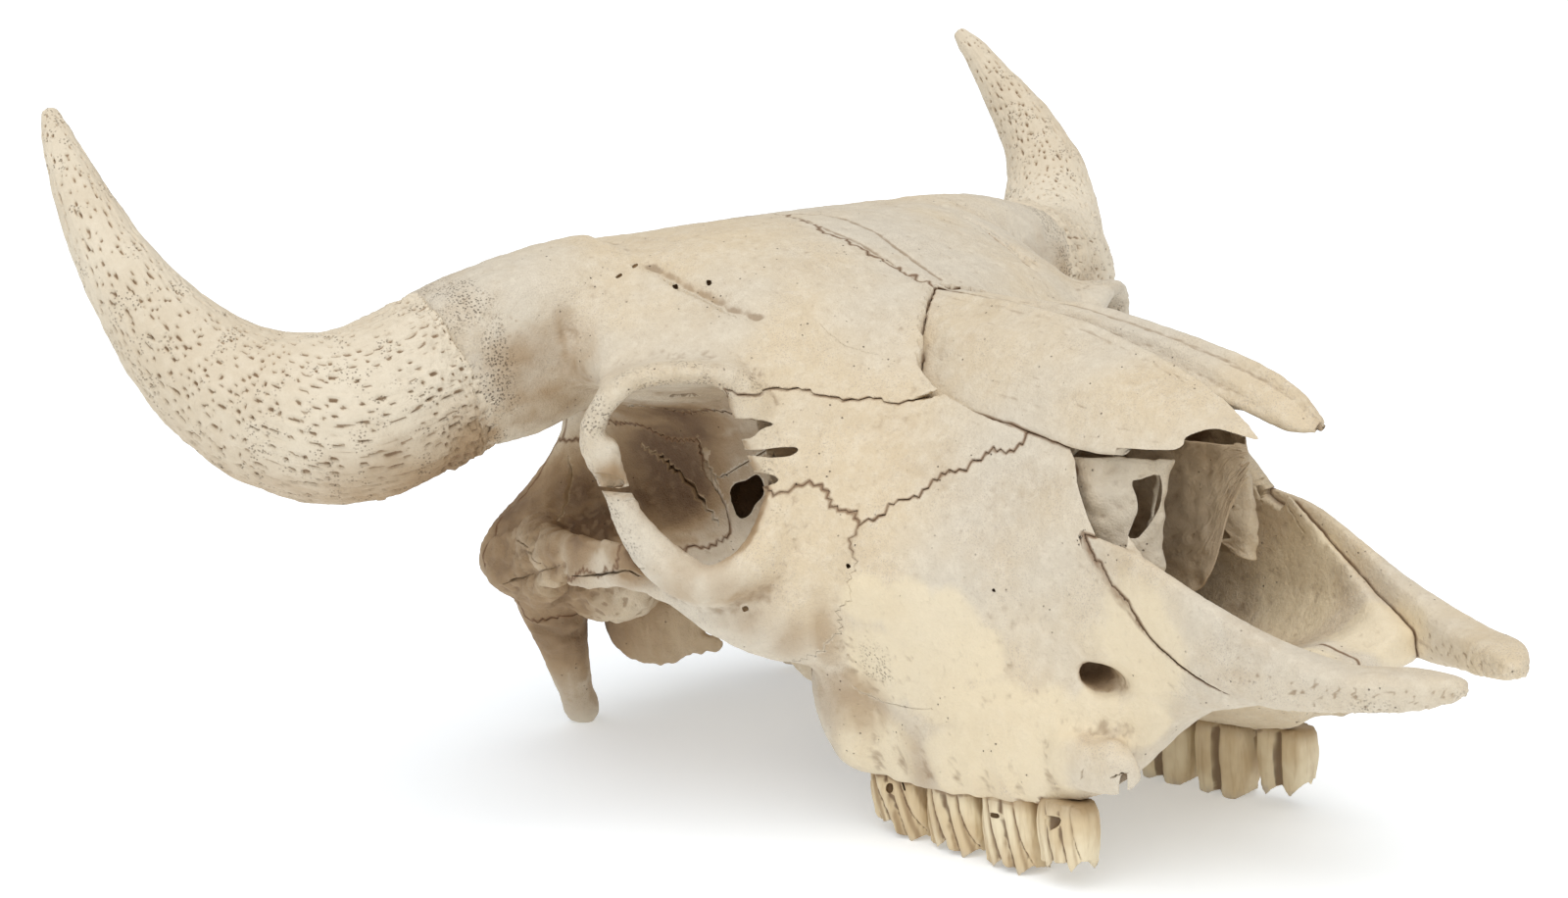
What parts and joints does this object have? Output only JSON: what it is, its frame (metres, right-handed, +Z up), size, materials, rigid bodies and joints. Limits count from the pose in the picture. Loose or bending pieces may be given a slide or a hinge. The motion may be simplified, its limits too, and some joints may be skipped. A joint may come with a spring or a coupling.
{
  "type": "american bison skull",
  "caption": "Dry skull of an American bison bull without the lower jaw and horn sheaths, resting on its cheek teeth and paracondylar processes, for museum display",
  "frame": {"origin": "on the floor under the middle of the skull's length and breadth", "axes": "+X to the animal's left along its longest extent across the horn cores, +Y to the back of the head, so that the nose points along -Y, +Z up"},
  "size_m": [0.5923, 0.5677, 0.3165],
  "materials": {
    "bone": "dry ivory bone, matte, with a fine grey speckle",
    "horn_core": "rough porous bone, pitted along its length",
    "inner_bone": "thin, darker and dusty bone",
    "tooth": "amber enamel, satin, with grey edges"
  },
  "bodies": {
    "root": {"frontal_right": "bone", "frontal_left": "bone", "horn_core_right": "horn_core", "horn_core_left": "horn_core", "nasal_right": "bone", "nasal_left": "bone", "lacrimal_right": "bone", "lacrimal_left": "bone", "zygomatic_right": "bone", "zygomatic_left": "bone", "maxilla_right": "bone", "maxilla_left": "bone", "premaxilla_right": "bone", "premaxilla_left": "bone", "palatine_right": "bone", "palatine_left": "bone", "temporal_right": "bone", "temporal_left": "bone", "bulla_right": "inner_bone", "bulla_left": "inner_bone", "braincase": "bone", "occipital": "bone", "turbinate_right": "inner_bone", "turbinate_left": "inner_bone", "vomer": "inner_bone", "molar_3_right": "tooth", "molar_3_left": "tooth", "molar_2_right": "tooth", "molar_2_left": "tooth", "molar_1_right": "tooth", "molar_1_left": "tooth", "premolar_4_right": "tooth", "premolar_4_left": "tooth"}
  },
  "joints": []
}
